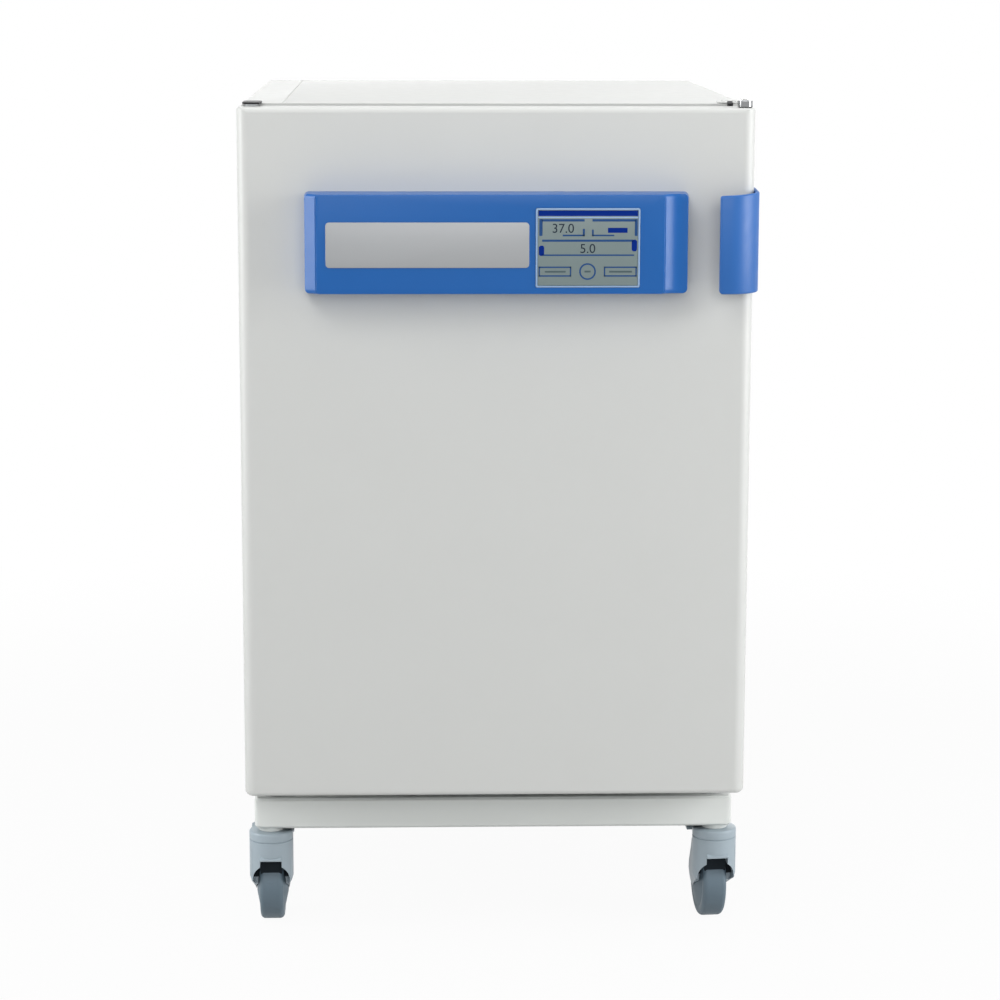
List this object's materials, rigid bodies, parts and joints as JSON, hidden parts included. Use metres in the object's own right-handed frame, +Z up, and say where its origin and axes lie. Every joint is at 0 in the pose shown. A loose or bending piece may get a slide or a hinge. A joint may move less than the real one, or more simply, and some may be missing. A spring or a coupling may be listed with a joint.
{
  "type": "carbon dioxide incubator",
  "caption": "Laboratory incubator cabinet on a castor stand, with an insulated outer door, blue control housing and handle, an inner glass door, shelves and a humidity pan.",
  "frame": {"origin": "on the floor under the middle of the whole object's bounding box", "axes": "+Z up, -Y out of the door towards the user, +X to the user's right when facing the door"},
  "size_m": [0.6419, 0.9028, 1.0781],
  "materials": {
    "painted_steel": "satin light grey paint",
    "stand_paint": "satin grey paint",
    "stainless": "fine brushed",
    "heater_foil": "foil",
    "foam": "rigid foam",
    "black_rubber": "matt",
    "door_seal": "matt",
    "silicone": "matt",
    "blue_plastic": "semi-gloss blue",
    "castor_plastic": "moulded grey",
    "tread": "matt",
    "black_steel": "black finish",
    "black_plastic": "moulded",
    "white_plastic": "moulded",
    "grey_plastic": "moulded",
    "bezel_plastic": "moulded",
    "screen": "smooth cover over a display",
    "silver_plate": "brushed",
    "chrome": "polished",
    "glass": "clear",
    "green_plastic": "smooth",
    "brass": "plain"
  },
  "bodies": {
    "cabinet": {"cabinet_shell": "painted_steel", "front_frame": "painted_steel", "chamber_liner": "stainless", "chamber_heater": "heater_foil", "insulation_jacket": "foam", "base_tray": "black_rubber", "rear_panel": "painted_steel", "rack_left": "stainless", "rack_right": "stainless", "fan_motor": "black_steel", "air_duct_cover": "stainless", "sensor_head": "white_plastic", "port_sleeve": "stainless", "mains_inlet": "black_plastic", "switch_frame": "black_plastic", "gas_inlet": "brass", "power_supply": "silver_plate", "stand_frame": "stand_paint", "hinge_plate_upper": "black_steel", "hinge_plate_lower": "black_steel", "catch_plate": "painted_steel", "catch_keeper": "black_rubber", "glass_hinge_upper": "stainless", "glass_hinge_lower": "stainless", "latch_keeper": "stainless"},
    "outer_door": {"door_shell": "painted_steel", "door_liner": "painted_steel", "door_insulation": "foam", "door_gasket": "door_seal", "hinge_bush_upper": "white_plastic", "hinge_bush_lower": "white_plastic", "control_panel": "blue_plastic", "display_bezel": "bezel_plastic", "display_screen": "screen", "label_plate": "silver_plate", "door_handle": "blue_plastic", "catch_pin": "black_steel"},
    "catch_roller": {"catch_roller": "chrome"},
    "glass_door": {"glass_pane": "glass", "glass_gasket": "silicone", "glass_clip_upper": "stainless", "glass_clip_lower": "stainless"},
    "latch_knob": {"latch_knob": "black_plastic"},
    "shelf_1": {"shelf_1": "stainless"},
    "shelf_2": {"shelf_2": "stainless"},
    "shelf_3": {"shelf_3": "stainless"},
    "humidity_pan": {"humidity_pan": "stainless"},
    "fan_wheel": {"fan_wheel": "grey_plastic"},
    "port_plug": {"port_plug": "silicone"},
    "mains_switch": {"mains_switch": "green_plastic"},
    "castor_1": {"castor_1_housing": "castor_plastic"},
    "castor_1_wheel": {"castor_1_wheel": "tread"},
    "brake_pedal_1": {"castor_1_brake_pedal": "castor_plastic"},
    "castor_2": {"castor_2_housing": "castor_plastic"},
    "castor_2_wheel": {"castor_2_wheel": "tread"},
    "brake_pedal_2": {"castor_2_brake_pedal": "castor_plastic"},
    "castor_3": {"castor_3_housing": "castor_plastic"},
    "castor_3_wheel": {"castor_3_wheel": "tread"},
    "castor_4": {"castor_4_housing": "castor_plastic"},
    "castor_4_wheel": {"castor_4_wheel": "tread"}
  },
  "joints": [
    {"name": "door_hinge", "type": "hinge", "parent": "cabinet", "child": "outer_door", "pos_m": [-0.3015, -0.3601, 0.63235], "axis": [0, 0, -1], "range_deg": [0, 105]},
    {"name": "glass_door_hinge", "type": "hinge", "parent": "cabinet", "child": "glass_door", "pos_m": [-0.255, -0.3427, 0.6113], "axis": [0, 0, -1], "range_deg": [0, 90]},
    {"name": "latch_turn", "type": "hinge", "parent": "glass_door", "child": "latch_knob", "pos_m": [0.225, -0.3457, 0.6113], "axis": [0, 1, 0], "range_deg": [0, 90]},
    {"name": "catch_roller_spin", "type": "hinge", "parent": "outer_door", "child": "catch_roller", "pos_m": [0.3065, -0.3871, 1.0669], "axis": [0, 0, 1], "continuous": true},
    {"name": "shelf_1_slide", "type": "slide", "parent": "cabinet", "child": "shelf_1", "axis": [0, -1, 0], "range_m": [0, 0.03]},
    {"name": "shelf_2_slide", "type": "slide", "parent": "cabinet", "child": "shelf_2", "axis": [0, -1, 0], "range_m": [0, 0.03]},
    {"name": "shelf_3_slide", "type": "slide", "parent": "cabinet", "child": "shelf_3", "axis": [0, -1, 0], "range_m": [0, 0.03]},
    {"name": "humidity_pan_slide", "type": "slide", "parent": "cabinet", "child": "humidity_pan", "axis": [0, -1, 0], "range_m": [0, 0.05]},
    {"name": "fan_spin", "type": "hinge", "parent": "cabinet", "child": "fan_wheel", "pos_m": [0, 0.1889, 0.7978], "axis": [0, 1, 0], "continuous": true},
    {"name": "port_plug_pull", "type": "slide", "parent": "cabinet", "child": "port_plug", "axis": [0, 1, 0], "range_m": [0, 0.06]},
    {"name": "mains_switch_rock", "type": "hinge", "parent": "cabinet", "child": "mains_switch", "pos_m": [0.232, 0.3992, 0.3558], "axis": [1, 0, 0], "range_deg": [-14, 0]},
    {"name": "castor_1_swivel", "type": "hinge", "parent": "cabinet", "child": "castor_1", "pos_m": [-0.2895, -0.3246, 0.1309], "axis": [0, 0, 1], "continuous": true},
    {"name": "castor_1_spin", "type": "hinge", "parent": "castor_1", "child": "castor_1_wheel", "pos_m": [-0.2895, -0.2896, 0.05], "axis": [1, 0, 0], "continuous": true},
    {"name": "brake_pedal_1_press", "type": "hinge", "parent": "castor_1", "child": "brake_pedal_1", "pos_m": [-0.2895, -0.2906, 0.114], "axis": [1, 0, 0], "range_deg": [-15, 0]},
    {"name": "castor_2_swivel", "type": "hinge", "parent": "cabinet", "child": "castor_2", "pos_m": [0.2895, -0.3246, 0.1309], "axis": [0, 0, 1], "continuous": true},
    {"name": "castor_2_spin", "type": "hinge", "parent": "castor_2", "child": "castor_2_wheel", "pos_m": [0.28645, -0.28973, 0.05], "axis": [0.9962, 0.0872, 0], "continuous": true},
    {"name": "brake_pedal_2_press", "type": "hinge", "parent": "castor_2", "child": "brake_pedal_2", "pos_m": [0.28654, -0.29073, 0.114], "axis": [0.9962, 0.0872, 0], "range_deg": [-15, 0]},
    {"name": "castor_3_swivel", "type": "hinge", "parent": "cabinet", "child": "castor_3", "pos_m": [-0.2895, 0.3664, 0.1309], "axis": [0, 0, 1], "continuous": true},
    {"name": "castor_3_spin", "type": "hinge", "parent": "castor_3", "child": "castor_3_wheel", "pos_m": [-0.2895, 0.4014, 0.05], "axis": [1, 0, 0], "continuous": true},
    {"name": "castor_4_swivel", "type": "hinge", "parent": "cabinet", "child": "castor_4", "pos_m": [0.2895, 0.3664, 0.1309], "axis": [0, 0, 1], "continuous": true},
    {"name": "castor_4_spin", "type": "hinge", "parent": "castor_4", "child": "castor_4_wheel", "pos_m": [0.2895, 0.4014, 0.05], "axis": [1, 0, 0], "continuous": true}
  ],
  "couplings": [
    {"joint": "glass_door_hinge", "follows": "door_hinge", "ratio": 0.85}
  ]
}
